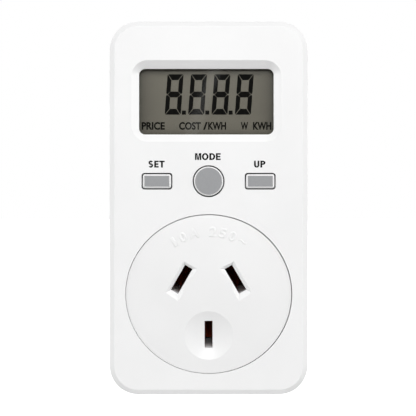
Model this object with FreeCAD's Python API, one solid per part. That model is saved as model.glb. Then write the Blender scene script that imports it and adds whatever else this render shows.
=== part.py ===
import FreeCAD, Part
import math
import os

from FreeCAD import Vector

# Plug-in power meter. Millimetres. The origin is the centre of the plug on the face that meets
# the wall outlet. +Y points into the wall, the display looks along -Y, and +Z is up.

# Case
CASE_W = 51.3
CASE_H = 96.5
CASE_BOTTOM = -26.05
CASE_TOP = CASE_BOTTOM + CASE_H
CASE_MID_Z = (CASE_TOP + CASE_BOTTOM) / 2
CASE_CORNER_R = 7.4
FRONT_Y = -38.0
BACK_Y = -2.0
SPLIT_Y = -16.0
WALL = 2.0
FRONT_WALL = 2.2
FRONT_BEVEL = 1.4
BEVEL_SOFTENING_R = 0.3
BACK_EDGE_R = 1.5
SEAM_CHAMFER = 0.25
TONGUE_T = 0.95
TONGUE_LONG = 1.5
BACK_FLOOR_Y = BACK_Y - WALL
WALL_INSIDE_Y = FRONT_Y + FRONT_WALL
ROOT = 0.5  # how far a post runs into the wall that it stands on
SNUG = 0.05  # between pieces that lie against each other

# Plug and socket layout of the flat three-pin system
PIN_X = 6.86
PIN_Z = 3.96
PIN_TILT = 30.0
EARTH_Z = -10.31
PIN_W = 6.3
PIN_T = 1.6
LIVE_PIN_LONG = 17.06
EARTH_PIN_LONG = 19.94
BOSS_R = 19.0
BOSS_CHAMFER = 0.5
SLOT_LONG = 7.4
SLOT_WIDE = 2.2
SLOT_DROP = 0.2
EARTH_SLOT_LONG = 7.0
EARTH_SLOT_WIDE = 2.06
EARTH_SLOT_DROP = 0.1

# Socket face
FACE_HALF_W = 21.32
FACE_HALF_H = 20.38
FACE_GAP = 0.18
OPENING_X = 0.06
OPENING_Z = 0.03
FACE_APEX_Y = FRONT_Y - 0.5
FACE_CROWN_R = 300.0
FLANGE_WIDER = 1.25
FLANGE_FRONT_Y = WALL_INSIDE_Y + 0.05
FLANGE_BACK_Y = FLANGE_FRONT_Y + 1.2
DISH_Z = -11.12
DISH_R = 6.4
DISH_DEPTH = 1.35
LEAD_IN_UPPER = 0.75
LEAD_IN_LOWER = 1.6
LEAD_IN_SIDE = 0.95
LEAD_IN_DEPTH = 0.8
RIB_OUTER = 4.9
RIB_WIDE = 3.0
RIB_BACK_Y = -20.0
RIB_BACK_LOW = -3.32

# Contact carrier
CELL_LONG = 12.4
CELL_WIDE = 7.6
CELL_WALL = 1.2
CARRIER_FRONT_Y = FLANGE_BACK_Y + 0.15
CARRIER_FLOOR_Y = -17.5
CARRIER_BACK_Y = -16.0
CARRIER_R = 20.0
CARRIER_SCREWS = [(0.0, 15.0), (-13.8, -8.0), (13.8, -8.0)]

# Display window and what lies behind it
WINDOW_X = -0.57
WINDOW_Z = 49.76
WINDOW_W = 34.9
WINDOW_H = 17.02
WINDOW_R = 1.6
SINK_W = 38.7
SINK_H = 21.1
SINK_R = 4.3
SINK_DEPTH = 1.6
LENS_FLANGE_W = 38.5
LENS_FLANGE_H = 20.6
LENS_FLANGE_T = 0.8
LENS_FLANGE_R = 1.0
GLASS_W = 37.0
FRONT_GLASS_H = 20.5
REAR_GLASS_H = 16.5
GLASS_T = 1.1
FILM_T = 0.2
LCD_FRAME_W = 40.6
LCD_FRAME_H = 22.4
ZEBRA_LONG = 34.0
ZEBRA_WIDE = 1.6
LCD_FRONT_Y = WALL_INSIDE_Y + LENS_FLANGE_T + 0.1

# Keys and their switches
KEY_Z = 29.1
KEY_X = 13.3
KEY_GAP = 0.35
KEY_PROUD = 0.4
KEY_TRAVEL = 0.5
MODE_HOLE_R = 4.125
SIDE_HOLE_W = 7.95
SIDE_HOLE_H = 4.3
SIDE_HOLE_R = 0.75
KEY_BACK_Y = -34.6
KEY_FLANGE_T = 0.75
KEY_FLANGE_WIDER = 0.7
KEY_FLANGE_R = 0.8
SIDE_KEY_R = 0.55
SIDE_KEY_CHAMFER = 0.42
MODE_KEY_CHAMFER = 0.3
SWITCH_SIZE = 6.0
SWITCH_CORNER_R = 0.4
SWITCH_TALL = 3.5
COVER_T = 0.2
PLUNGER_R = 1.7
PLUNGER_CLEARANCE = 0.075
PLUNGER_LONG = 3.0

# Boards
BOARD_HALF_W = 22.3
BOARD_LOW_Z = 25.3
BOARD_HIGH_Z = 66.0
DISPLAY_BOARD_Y = -29.6
DISPLAY_BOARD_T = 1.2
DISPLAY_BOARD_BACK_Y = DISPLAY_BOARD_Y + DISPLAY_BOARD_T
POWER_BOARD_Y = -8.6
POWER_BOARD_T = 1.6
POWER_BOARD_BACK_Y = POWER_BOARD_Y + POWER_BOARD_T

# Fasteners
CASE_SCREWS = [(x, z) for x in (-19.3, 19.3) for z in (-19.6, 64.0)]
CASE_POST_R = 3.0
CASE_SCREW_R = 1.25
SCREW_CLEARANCE = 0.05
COUNTERBORE_R = 2.7
COUNTERBORE_DEPTH = 4.0
DISPLAY_SCREWS = [(-20.8, 34.8), (20.8, 34.8), (-14.0, 63.6), (14.0, 63.6)]
POWER_SCREWS = [(-20.0, 34.0), (20.0, 31.0), (-20.0, 57.5), (20.0, 57.5)]
CLAMP_SCREWS = [(-12.3, -7.3), (12.3, -7.3)]
SMALL_SCREW_R = 0.95
CASE_PILOT_END_Y = -31.0
DISPLAY_POST_R = 1.8
DISPLAY_PILOT_END_Y = -34.6
POWER_POST_R = 2.0
POWER_PILOT_END_Y = -3.4
CARRIER_POST_R = 2.5
CARRIER_PILOT_END_Y = -23.0
CLAMP_PILOT_END_Y = -1.2

# Stops behind the contact carrier
CARRIER_STOPS = [(-16.2, 6.6), (16.2, 6.6)]
CARRIER_STOP_R = 2.2

# Rating label
LABEL_Z = 43.0
LABEL_W = 34.0
LABEL_H = 24.0
LABEL_R = 1.5
LABEL_RECESS = 0.3
LABEL_T = 0.2
LABEL_MARGIN = 0.2

# Components that stand on the power board
TALL = 12.0
LEG_R = 0.4
BOX_X, BOX_Z, BOX_LONG, BOX_WIDE = -12.0, 42.5, 18.0, 7.0
CAN_XS = (-15.0, -5.8)
CAN_Z = 51.3
CAN_R = 4.0
DISC_X, DISC_Z, DISC_R, DISC_T = 3.2, 42.5, 5.0, 3.6
FUSE_X, FUSE_Z, FUSE_LONG, FUSE_R = 9.5, 36.0, 8.0, 2.2
SHUNT_X, SHUNT_Z, SHUNT_LONG, SHUNT_WIDE = -16.0, 34.5, 10.0, 3.0
BATTERY_X, BATTERY_Z, CELL_PITCH, CELL_R, CELL_T = -2.6, 60.6, 5.35, 5.1, 5.2
RIBBON_X, RIBBON_Z, RIBBON_HALF_W, RIBBON_HALF_T = 4.0, 31.6, 4.0, 0.4

# Pin clamp
CLAMP_R = 15.8
CLAMP_Z = -2.0
CLAMP_T = 3.9
PIN_HEAD_LONG = 9.0
PIN_HEAD_WIDE = 3.6
PIN_HEAD_T = 2.0
PIN_TAIL_LONG = 4.0
PIN_TAIL_WIDE = 1.0
PIN_TAIL_Y = -10.5
SLEEVE_LONG = 8.0
SLEEVE_T = 0.3

PINS = {
    "live": (-PIN_X, PIN_Z, PIN_TILT),
    "neutral": (PIN_X, PIN_Z, -PIN_TILT),
    "earth": (0.0, EARTH_Z, 0.0),
}


def slab(cx, cz, w, h, r, y0, y1):
    """A block centred on (cx, cz), w wide, h tall, with edges along Y rounded to r."""
    block = Part.makeBox(w, y1 - y0, h, Vector(cx - w / 2, y0, cz - h / 2))
    if r <= 0:
        return block
    upright = [e for e in block.Edges if abs(e.tangentAt(e.FirstParameter).y) > 0.99]
    return block.makeFillet(r, upright)


def rod(x, z, r, y0, y1):
    """A round bar along Y."""
    return Part.makeCylinder(r, y1 - y0, Vector(x, y0, z), Vector(0, 1, 0))


def oval(half_w, half_h, y0, y1):
    """A bar along Y with an oval section about the socket's centre."""
    ellipse = Part.Ellipse(Vector(half_w, y0, 0), Vector(0, y0, half_h), Vector(0, y0, 0))
    return Part.Face(Part.Wire(ellipse.toShape())).extrude(Vector(0, y1 - y0, 0))


def blade(long, wide, y0, y1):
    """A flat bar along Y, its long side upright, centred on the origin."""
    return Part.makeBox(wide, y1 - y0, long, Vector(-wide / 2, y0, -long / 2))


def at_pin(shape, pin):
    """Turn a shape made at the origin to a pin's tilt, and move it to the pin's place."""
    x, z, tilt = PINS[pin]
    placed = shape.copy()
    placed.rotate(Vector(0, 0, 0), Vector(0, 1, 0), tilt)
    placed.translate(Vector(x, 0, z))
    return placed


def joined(shapes):
    whole = shapes[0]
    for extra in shapes[1:]:
        whole = whole.fuse(extra)
    return whole.removeSplitter()


def group(shapes):
    return Part.makeCompound(shapes)


def tapered(w0, h0, w1, h1, y0, y1):
    """A block whose section goes from w0 x h0 at y0 to w1 x h1 at y1."""
    wires = []
    for w, h, y in ((w0, h0, y0), (w1, h1, y1)):
        corners = [(-w, -h), (w, -h), (w, h), (-w, h), (-w, -h)]
        wires.append(Part.makePolygon([Vector(a / 2, y, b / 2) for a, b in corners]))
    return Part.makeLoft(wires, True, True)


def screw(x, z, r, head_r, head_y, head_t, tip_y):
    """A pan-head screw driven along -Y from behind, with a cross recess in its head."""
    body = rod(x, z, head_r, head_y, head_y + head_t).fuse(rod(x, z, r, tip_y, head_y))
    depth = head_t * 0.6
    for w, h in ((head_r * 1.1, head_r * 0.28), (head_r * 0.28, head_r * 1.1)):
        body = body.cut(slab(x, z, w, h, 0, head_y + head_t - depth, head_y + head_t))
    return body.removeSplitter()


def wire_path(points):
    """Straight runs joined by tangent arcs, as one wire, through a list of points."""
    pts = [Vector(*p) for p in points]
    edges = []
    start = pts[0]
    for before, corner, after in zip(pts, pts[1:], pts[2:]):
        back = (before - corner).normalize()
        ahead = (after - corner).normalize()
        reach = 0.45 * min(corner.distanceToPoint(before), corner.distanceToPoint(after))
        half_turn = (math.pi - back.getAngle(ahead)) / 2
        radius = reach / math.tan(half_turn)
        arc_in = corner + back * reach
        arc_out = corner + ahead * reach
        bisector = (back + ahead).normalize()
        centre = corner + bisector * (radius / math.cos(half_turn))
        middle = centre - bisector * radius
        edges.append(Part.LineSegment(start, arc_in).toShape())
        edges.append(Part.Arc(arc_in, middle, arc_out).toShape())
        start = arc_out
    edges.append(Part.LineSegment(start, pts[-1]).toShape())
    return Part.Wire(edges)


def insulated_wire(points, r):
    path = wire_path(points)
    first = Vector(*points[0])
    heading = Vector(*points[1]) - first
    ring = Part.Wire(Part.makeCircle(r, first, heading))
    return path.makePipeShell([ring], True, False)


def case_outline(inset, y0, y1):
    return slab(
        0, CASE_MID_Z, CASE_W - 2 * inset, CASE_H - 2 * inset, CASE_CORNER_R - inset, y0, y1
    )


def edges_at(shape, y):
    """The edges of a shape that lie wholly in the plane at y."""
    return [e for e in shape.Edges if abs(e.BoundBox.YMin - y) + abs(e.BoundBox.YMax - y) < 0.001]


def front_shell():
    outer = case_outline(0, FRONT_Y, SPLIT_Y)
    outer = outer.makeChamfer(FRONT_BEVEL, edges_at(outer, FRONT_Y))
    soft = edges_at(outer, FRONT_Y) + edges_at(outer, FRONT_Y + FRONT_BEVEL)
    outer = outer.makeFillet(BEVEL_SOFTENING_R, soft)
    outer = outer.makeChamfer(SEAM_CHAMFER, edges_at(outer, SPLIT_Y))
    shell = outer.cut(case_outline(WALL, WALL_INSIDE_Y, SPLIT_Y))
    shell = shell.cut(case_outline(WALL - TONGUE_T - 0.05, SPLIT_Y - TONGUE_LONG - 0.1, SPLIT_Y))

    shell = shell.cut(window_sink())
    aperture = slab(
        WINDOW_X, WINDOW_Z, WINDOW_W, WINDOW_H, WINDOW_R, FRONT_Y + SINK_DEPTH - 0.1, WALL_INSIDE_Y
    )
    shell = shell.cut(aperture)

    opening = oval(FACE_HALF_W + FACE_GAP, FACE_HALF_H + FACE_GAP, FRONT_Y, WALL_INSIDE_Y)
    opening.translate(Vector(OPENING_X, 0, OPENING_Z))
    shell = shell.cut(opening)
    shell = shell.cut(rod(0, KEY_Z, MODE_HOLE_R, FRONT_Y, WALL_INSIDE_Y))
    for x in (-KEY_X, KEY_X):
        hole = slab(x, KEY_Z, SIDE_HOLE_W, SIDE_HOLE_H, SIDE_HOLE_R, FRONT_Y, WALL_INSIDE_Y)
        shell = shell.cut(hole)

    for x, z in CASE_SCREWS:
        shell = shell.fuse(rod(x, z, CASE_POST_R, WALL_INSIDE_Y - ROOT, SPLIT_Y))
    for x, z in DISPLAY_SCREWS:
        shell = shell.fuse(rod(x, z, DISPLAY_POST_R, WALL_INSIDE_Y - ROOT, DISPLAY_BOARD_Y))
    for x, z in CASE_SCREWS:
        shell = shell.cut(rod(x, z, CASE_SCREW_R + SCREW_CLEARANCE, CASE_PILOT_END_Y, SPLIT_Y))
    for x, z in DISPLAY_SCREWS:
        pilot = rod(x, z, SMALL_SCREW_R + SCREW_CLEARANCE, DISPLAY_PILOT_END_Y, DISPLAY_BOARD_Y)
        shell = shell.cut(pilot)
    return shell.removeSplitter()


def window_sink():
    """The sloping-sided hollow in front of the window, with corners round all the way down."""
    wires = []
    for w, h, r, y in (
        (SINK_W, SINK_H, SINK_R, FRONT_Y),
        (WINDOW_W, WINDOW_H, WINDOW_R, FRONT_Y + SINK_DEPTH),
    ):
        block = slab(WINDOW_X, WINDOW_Z, w, h, r, y, y + 1)
        front = [f for f in block.Faces if abs(f.BoundBox.YMax - y) < 0.001][0]
        wires.append(front.OuterWire)
    return Part.makeLoft(wires, True, True)


def rear_shell():
    outer = case_outline(0, SPLIT_Y, BACK_Y)
    outer = outer.makeFillet(BACK_EDGE_R, edges_at(outer, BACK_Y))
    outer = outer.makeChamfer(SEAM_CHAMFER, edges_at(outer, SPLIT_Y))
    boss = rod(0, 0, BOSS_R, BACK_Y - ROOT, 0)
    boss = boss.makeChamfer(BOSS_CHAMFER, [e for e in edges_at(boss, 0) if e.Closed])
    shell = outer.cut(case_outline(WALL, SPLIT_Y, BACK_FLOOR_Y)).fuse(boss)
    tongue = case_outline(WALL - TONGUE_T, SPLIT_Y - TONGUE_LONG, SPLIT_Y + 0.5)
    shell = shell.fuse(tongue.cut(case_outline(WALL, SPLIT_Y - TONGUE_LONG, SPLIT_Y + 0.5)))

    for x, z in CASE_SCREWS:
        shell = shell.fuse(rod(x, z, CASE_POST_R + 0.2, SPLIT_Y, BACK_FLOOR_Y + ROOT))
    for x, z in POWER_SCREWS:
        shell = shell.fuse(rod(x, z, POWER_POST_R, POWER_BOARD_BACK_Y, BACK_FLOOR_Y + ROOT))
    for x, z in CARRIER_STOPS:
        shell = shell.fuse(rod(x, z, CARRIER_STOP_R, CARRIER_BACK_Y + SNUG, BACK_FLOOR_Y + ROOT))

    for x, z in CASE_SCREWS:
        shell = shell.cut(rod(x, z, CASE_SCREW_R + 0.25, SPLIT_Y, BACK_Y))
        shell = shell.cut(rod(x, z, COUNTERBORE_R, BACK_Y - COUNTERBORE_DEPTH, BACK_Y))
    for x, z in POWER_SCREWS:
        pilot = rod(x, z, SMALL_SCREW_R + SCREW_CLEARANCE, POWER_BOARD_BACK_Y, POWER_PILOT_END_Y)
        shell = shell.cut(pilot)
    for x, z in CLAMP_SCREWS:
        pilot = rod(x, z, SMALL_SCREW_R + SCREW_CLEARANCE, BACK_FLOOR_Y, CLAMP_PILOT_END_Y)
        shell = shell.cut(pilot)
    for pin in PINS:
        shell = shell.cut(at_pin(blade(PIN_W + 0.2, PIN_T + 0.2, BACK_FLOOR_Y, 0), pin))
    recess_w = LABEL_W + 2 * LABEL_MARGIN
    recess_h = LABEL_H + 2 * LABEL_MARGIN
    recess_r = LABEL_R + LABEL_MARGIN
    shell = shell.cut(slab(0, LABEL_Z, recess_w, recess_h, recess_r, BACK_Y - LABEL_RECESS, BACK_Y))
    return shell.removeSplitter()


def socket_face():
    plate = oval(FACE_HALF_W, FACE_HALF_H, FACE_APEX_Y - 1, FLANGE_BACK_Y)
    crown = Part.makeSphere(FACE_CROWN_R, Vector(0, FACE_APEX_Y + FACE_CROWN_R, 0))
    plate = plate.common(crown)
    plate = plate.fuse(
        oval(
            FACE_HALF_W + FLANGE_WIDER, FACE_HALF_H + FLANGE_WIDER, FLANGE_FRONT_Y, FLANGE_BACK_Y
        )
    )
    dish_ball_r = (DISH_R**2 + DISH_DEPTH**2) / (2 * DISH_DEPTH)
    crown_there = DISH_Z**2 / (2 * FACE_CROWN_R)
    dish_floor_y = FACE_APEX_Y + crown_there + DISH_DEPTH
    plate = plate.cut(Part.makeSphere(dish_ball_r, Vector(0, dish_floor_y - dish_ball_r, DISH_Z)))
    for pin in PINS:
        low, high = slot_ends(pin)
        plate = plate.fuse(at_pin(guide_rib(low, RIB_BACK_LOW, -RIB_OUTER), pin))
        plate = plate.fuse(at_pin(guide_rib(high, high, RIB_OUTER), pin))
    for x, z in CARRIER_SCREWS:
        plate = plate.fuse(rod(x, z, CARRIER_POST_R, FLANGE_BACK_Y - ROOT, CARRIER_FLOOR_Y))
    for pin in PINS:
        low, high = slot_ends(pin)
        wide = EARTH_SLOT_WIDE if pin == "earth" else SLOT_WIDE
        slot = blade(high - low, wide, FACE_APEX_Y - 1, FLANGE_BACK_Y)
        slot.translate(Vector(0, 0, (high + low) / 2))
        plate = plate.cut(at_pin(slot, pin))
        if pin != "earth":
            plate = plate.cut(at_pin(lead_in(low, high, wide), pin))
    for x, z in CARRIER_SCREWS:
        pilot = rod(x, z, SMALL_SCREW_R + SCREW_CLEARANCE, CARRIER_PILOT_END_Y, CARRIER_FLOOR_Y)
        plate = plate.cut(pilot)
    return plate.removeSplitter()


def slot_ends(pin):
    """The lower and upper ends of a slot, measured along it from the middle of its pin."""
    if pin == "earth":
        return -EARTH_SLOT_LONG / 2 - EARTH_SLOT_DROP, EARTH_SLOT_LONG / 2 - EARTH_SLOT_DROP
    return -SLOT_LONG / 2 - SLOT_DROP, SLOT_LONG / 2 - SLOT_DROP


def guide_rib(front_z, back_z, outer_z):
    """A rib that carries one end of a slot inwards, level or sloping, to guide a blade."""
    front_y = FLANGE_BACK_Y - ROOT
    outline = [(front_y, front_z), (RIB_BACK_Y, back_z), (RIB_BACK_Y, outer_z), (front_y, outer_z)]
    outline.append(outline[0])
    side = Part.Face(Part.makePolygon([Vector(-RIB_WIDE / 2, y, z) for y, z in outline]))
    return side.extrude(Vector(RIB_WIDE, 0, 0))


def lead_in(low, high, wide):
    """The funnel at a slot's mouth, longer at its lower end, that steers a blade in."""
    mouth_y = FACE_APEX_Y + 0.07
    wires = []
    for side, upper, lower, y in (
        (LEAD_IN_SIDE, LEAD_IN_UPPER, LEAD_IN_LOWER, mouth_y),
        (0, 0, 0, mouth_y + LEAD_IN_DEPTH),
    ):
        half = wide / 2 + side
        top = high + upper
        bottom = low - lower
        corners = [(-half, bottom), (half, bottom), (half, top), (-half, top), (-half, bottom)]
        wires.append(Part.makePolygon([Vector(x, y, z) for x, z in corners]))
    return Part.makeLoft(wires, True, True)


def contact_carrier():
    carrier = rod(0, 0, CARRIER_R, CARRIER_FLOOR_Y, CARRIER_BACK_Y)
    for pin in PINS:
        cell = blade(CELL_LONG, CELL_WIDE, CARRIER_FRONT_Y, CARRIER_BACK_Y)
        carrier = carrier.fuse(at_pin(cell, pin))
    chamber_long = CELL_LONG - 2 * CELL_WALL
    chamber_wide = CELL_WIDE - 2 * CELL_WALL
    for pin in PINS:
        chamber = blade(chamber_long, chamber_wide, CARRIER_FRONT_Y, CARRIER_FLOOR_Y)
        carrier = carrier.cut(at_pin(chamber, pin))
        tab_slot = blade(PIN_TAIL_LONG + 0.4, 1.0, CARRIER_FLOOR_Y, CARRIER_BACK_Y)
        carrier = carrier.cut(at_pin(tab_slot, pin))
    for x, z in CARRIER_SCREWS:
        carrier = carrier.cut(rod(x, z, SMALL_SCREW_R + 0.2, CARRIER_FLOOR_Y, CARRIER_BACK_Y))
    return carrier.removeSplitter()


def contact(pin):
    """A spring clip of two leaves that narrow to a throat, a web behind and a solder tab."""
    leaf_t = 0.5
    leaf_wide = 6.4
    back_y = -18.3
    tab_t = 0.6
    tab_end_y = -13.0
    inner = [(1.55, -33.9), (0.8, -28.5), (1.25, -24.0), (1.55, back_y - leaf_t)]
    outer = [(x + leaf_t, y) for x, y in inner]
    outline = inner + [(0, back_y - leaf_t), (0, back_y), (inner[-1][0] + leaf_t, back_y)]
    outline += outer[-2::-1]
    outline.append(inner[0])
    half = Part.Face(Part.makePolygon([Vector(x, y, 0) for x, y in outline]))
    half = half.extrude(Vector(0, 0, leaf_wide))
    half.translate(Vector(0, 0, -leaf_wide / 2))
    tab = blade(PIN_TAIL_LONG, tab_t, back_y - leaf_t / 2, tab_end_y)
    whole = joined([half, half.mirror(Vector(0, 0, 0), Vector(1, 0, 0)), tab])
    return at_pin(whole, pin)


def plug_pin(pin):
    """A brass blade with a bevelled tip, a head that the clamp holds, and a solder tail."""
    long = EARTH_PIN_LONG if pin == "earth" else LIVE_PIN_LONG
    tip = 1.2
    bar = blade(PIN_W, PIN_T, BACK_FLOOR_Y, long - tip)
    bar = bar.fuse(tapered(PIN_T, PIN_W, PIN_T - 0.9, PIN_W - 2.0, long - tip, long))
    if pin != "earth":
        neck = blade(PIN_W + 1, PIN_T + 1, 0.0, SLEEVE_LONG)
        neck = neck.cut(blade(PIN_W - 2 * SLEEVE_T, PIN_T - 2 * SLEEVE_T, 0.0, SLEEVE_LONG))
        bar = bar.cut(neck)
    head = blade(PIN_HEAD_LONG, PIN_HEAD_WIDE, BACK_FLOOR_Y - PIN_HEAD_T, BACK_FLOOR_Y)
    tail = blade(PIN_TAIL_LONG, PIN_TAIL_WIDE, PIN_TAIL_Y, BACK_FLOOR_Y - PIN_HEAD_T)
    return at_pin(joined([bar, head, tail]), pin)


def pin_sleeve(pin):
    sleeve = blade(PIN_W, PIN_T, 0.0, SLEEVE_LONG)
    sleeve = sleeve.cut(blade(PIN_W - 2 * SLEEVE_T, PIN_T - 2 * SLEEVE_T, 0.0, SLEEVE_LONG))
    return at_pin(sleeve, pin)


def pin_clamp():
    front_y = BACK_FLOOR_Y - SNUG - CLAMP_T
    clamp = rod(0, CLAMP_Z, CLAMP_R, front_y, BACK_FLOOR_Y - SNUG)
    for pin in PINS:
        pocket = blade(
            PIN_HEAD_LONG + 0.2, PIN_HEAD_WIDE + 0.2, BACK_FLOOR_Y - PIN_HEAD_T - SNUG, BACK_FLOOR_Y
        )
        slot = blade(PIN_TAIL_LONG + 0.4, PIN_TAIL_WIDE + 0.4, front_y, BACK_FLOOR_Y)
        clamp = clamp.cut(at_pin(pocket, pin)).cut(at_pin(slot, pin))
    for x, z in CLAMP_SCREWS:
        clamp = clamp.cut(rod(x, z, SMALL_SCREW_R + 0.15, front_y, BACK_FLOOR_Y))
    return clamp.removeSplitter()


def flip_screw(x, z, r, head_r, head_y, head_t, tip_y):
    """A pan-head screw driven along +Y from in front."""
    made = screw(x, z, r, head_r, -head_y, head_t, -tip_y)
    return made.mirror(Vector(0, 0, 0), Vector(0, 1, 0))


def display_window():
    island = slab(
        WINDOW_X,
        WINDOW_Z,
        WINDOW_W - 0.1,
        WINDOW_H - 0.1,
        WINDOW_R,
        FRONT_Y + SINK_DEPTH,
        WALL_INSIDE_Y + 0.2,
    )
    flange = slab(
        WINDOW_X,
        WINDOW_Z,
        LENS_FLANGE_W,
        LENS_FLANGE_H,
        LENS_FLANGE_R,
        WALL_INSIDE_Y,
        WALL_INSIDE_Y + LENS_FLANGE_T,
    )
    return joined([island, flange])


def lcd_parts():
    """Polariser, front glass, rear glass and reflector, in order from the front."""
    y = LCD_FRONT_Y
    layers = {}
    for name, w, h, t in (
        ("front_polariser", GLASS_W - 1.0, REAR_GLASS_H + 1.6, FILM_T),
        ("lcd_front_glass", GLASS_W, FRONT_GLASS_H, GLASS_T),
        ("lcd_rear_glass", GLASS_W, REAR_GLASS_H, GLASS_T),
        ("rear_reflector", GLASS_W - 1.0, REAR_GLASS_H - 0.8, FILM_T),
    ):
        layers[name] = slab(WINDOW_X, WINDOW_Z, w, h, 0, y, y + t)
        y += t
    return layers


def lcd_frame():
    frame = slab(
        WINDOW_X, WINDOW_Z, LCD_FRAME_W, LCD_FRAME_H, 0.6, LCD_FRONT_Y + 0.05, DISPLAY_BOARD_Y
    )
    inside = slab(
        WINDOW_X, WINDOW_Z, GLASS_W + 0.2, FRONT_GLASS_H + 0.2, 0, LCD_FRONT_Y, DISPLAY_BOARD_Y
    )
    return frame.cut(inside)


def zebra_strips():
    ledge_y = LCD_FRONT_Y + FILM_T + GLASS_T
    offset = (REAR_GLASS_H + FRONT_GLASS_H) / 4
    strips = []
    for z in (WINDOW_Z - offset, WINDOW_Z + offset):
        strips.append(slab(WINDOW_X, z, ZEBRA_LONG, ZEBRA_WIDE, 0, ledge_y, DISPLAY_BOARD_Y))
    return group(strips)


def board(y0, y1, holes):
    mid_z = (BOARD_LOW_Z + BOARD_HIGH_Z) / 2
    sheet = slab(0, mid_z, 2 * BOARD_HALF_W, BOARD_HIGH_Z - BOARD_LOW_Z, 1.0, y0, y1)
    for x, z in CASE_SCREWS:
        if z > 0:
            sheet = sheet.cut(rod(x, z, CASE_POST_R + 0.8, y0, y1))
    for x, z in holes:
        sheet = sheet.cut(rod(x, z, SMALL_SCREW_R + 0.15, y0, y1))
    return largest(sheet)


def largest(shape):
    """The biggest solid of a shape, without the slivers that a notch cuts loose."""
    return max(shape.Solids, key=lambda s: s.Volume)


def side_keycap(x):
    cap = slab(
        x,
        KEY_Z,
        SIDE_HOLE_W - 2 * KEY_GAP,
        SIDE_HOLE_H - 2 * KEY_GAP,
        SIDE_KEY_R,
        FRONT_Y - KEY_PROUD,
        KEY_BACK_Y,
    )
    cap = cap.makeChamfer(SIDE_KEY_CHAMFER, edges_at(cap, FRONT_Y - KEY_PROUD))
    flange = slab(
        x,
        KEY_Z,
        SIDE_HOLE_W + KEY_FLANGE_WIDER,
        SIDE_HOLE_H + KEY_FLANGE_WIDER,
        KEY_FLANGE_R,
        KEY_BACK_Y - KEY_FLANGE_T,
        KEY_BACK_Y,
    )
    return joined([cap, flange])


def mode_keycap():
    cap = rod(0, KEY_Z, MODE_HOLE_R - KEY_GAP, FRONT_Y - KEY_PROUD, KEY_BACK_Y)
    cap = cap.makeChamfer(MODE_KEY_CHAMFER, [e for e in edges_at(cap, FRONT_Y - KEY_PROUD) if e.Closed])
    flange_r = MODE_HOLE_R + KEY_FLANGE_WIDER / 2
    return joined([cap, rod(0, KEY_Z, flange_r, KEY_BACK_Y - KEY_FLANGE_T, KEY_BACK_Y)])


def switch_base(x):
    """The moulded base of a tactile switch, with the well that its plunger runs in."""
    top_y = DISPLAY_BOARD_Y - SWITCH_TALL
    base = slab(x, KEY_Z, SWITCH_SIZE, SWITCH_SIZE, SWITCH_CORNER_R, top_y, DISPLAY_BOARD_Y)
    well_y = KEY_BACK_Y + PLUNGER_LONG + KEY_TRAVEL + 0.2
    return base.cut(rod(x, KEY_Z, PLUNGER_R + PLUNGER_CLEARANCE, top_y, well_y))


def switch_cover(x):
    top_y = DISPLAY_BOARD_Y - SWITCH_TALL
    cover = slab(x, KEY_Z, SWITCH_SIZE, SWITCH_SIZE, SWITCH_CORNER_R, top_y - COVER_T, top_y)
    return cover.cut(rod(x, KEY_Z, PLUNGER_R + PLUNGER_CLEARANCE, top_y - COVER_T, top_y))


def switch_plunger(x):
    return rod(x, KEY_Z, PLUNGER_R, KEY_BACK_Y, KEY_BACK_Y + PLUNGER_LONG)


def gull_wing_chip(x, z, w, h, t, face_y, outward, leads, pitch):
    """A moulded chip on a board face, with a row of leads along its top and bottom sides."""
    y0, y1 = sorted((face_y, face_y + outward * t))
    body = slab(x, z, w, h, 0, y0 + 0.1 * (outward > 0), y1 - 0.1 * (outward < 0))
    leg_y0, leg_y1 = sorted((face_y, face_y + outward * 0.3))
    legs = []
    for side in (-1, 1):
        for i in range(leads):
            leg_x = x + (i - (leads - 1) / 2) * pitch
            legs.append(slab(leg_x, z + side * (h / 2 + 0.5), 0.4, 1.4, 0, leg_y0, leg_y1))
    return joined([body] + legs)


def x2_capacitor():
    """A box capacitor standing off the board on two legs."""
    body = slab(
        BOX_X, BOX_Z, BOX_LONG, BOX_WIDE, 0.6, POWER_BOARD_Y - TALL, POWER_BOARD_Y - 0.2
    )
    half_pitch = BOX_LONG / 2 - 1.5
    legs = [
        rod(BOX_X + side * half_pitch, BOX_Z, LEG_R, POWER_BOARD_Y - 1, POWER_BOARD_Y)
        for side in (-1, 1)
    ]
    return joined([body] + legs)


def smoothing_capacitors():
    cans = []
    top_y = POWER_BOARD_Y - TALL
    groove_ends = (POWER_BOARD_Y - 2.4, POWER_BOARD_Y - 1.8)
    for x in CAN_XS:
        can = rod(x, CAN_Z, CAN_R, top_y, POWER_BOARD_Y)
        can = can.makeFillet(0.5, [e for e in edges_at(can, top_y) if e.Closed])
        groove = rod(x, CAN_Z, CAN_R + 0.5, *groove_ends)
        can = can.cut(groove.cut(rod(x, CAN_Z, CAN_R - 0.4, *groove_ends)))
        cans.append(can)
    return group(cans)


def varistor():
    lower_face = Vector(DISC_X, POWER_BOARD_Y - DISC_R - 1.6, DISC_Z - DISC_T / 2)
    disc = Part.makeCylinder(DISC_R, DISC_T, lower_face, Vector(0, 0, 1))
    disc = disc.makeFillet(0.8, [e for e in disc.Edges if e.Closed])
    half_pitch = 2.5
    legs = [
        rod(DISC_X + side * half_pitch, DISC_Z, LEG_R, POWER_BOARD_Y - 3.0, POWER_BOARD_Y)
        for side in (-1, 1)
    ]
    return joined([disc] + legs)


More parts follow.
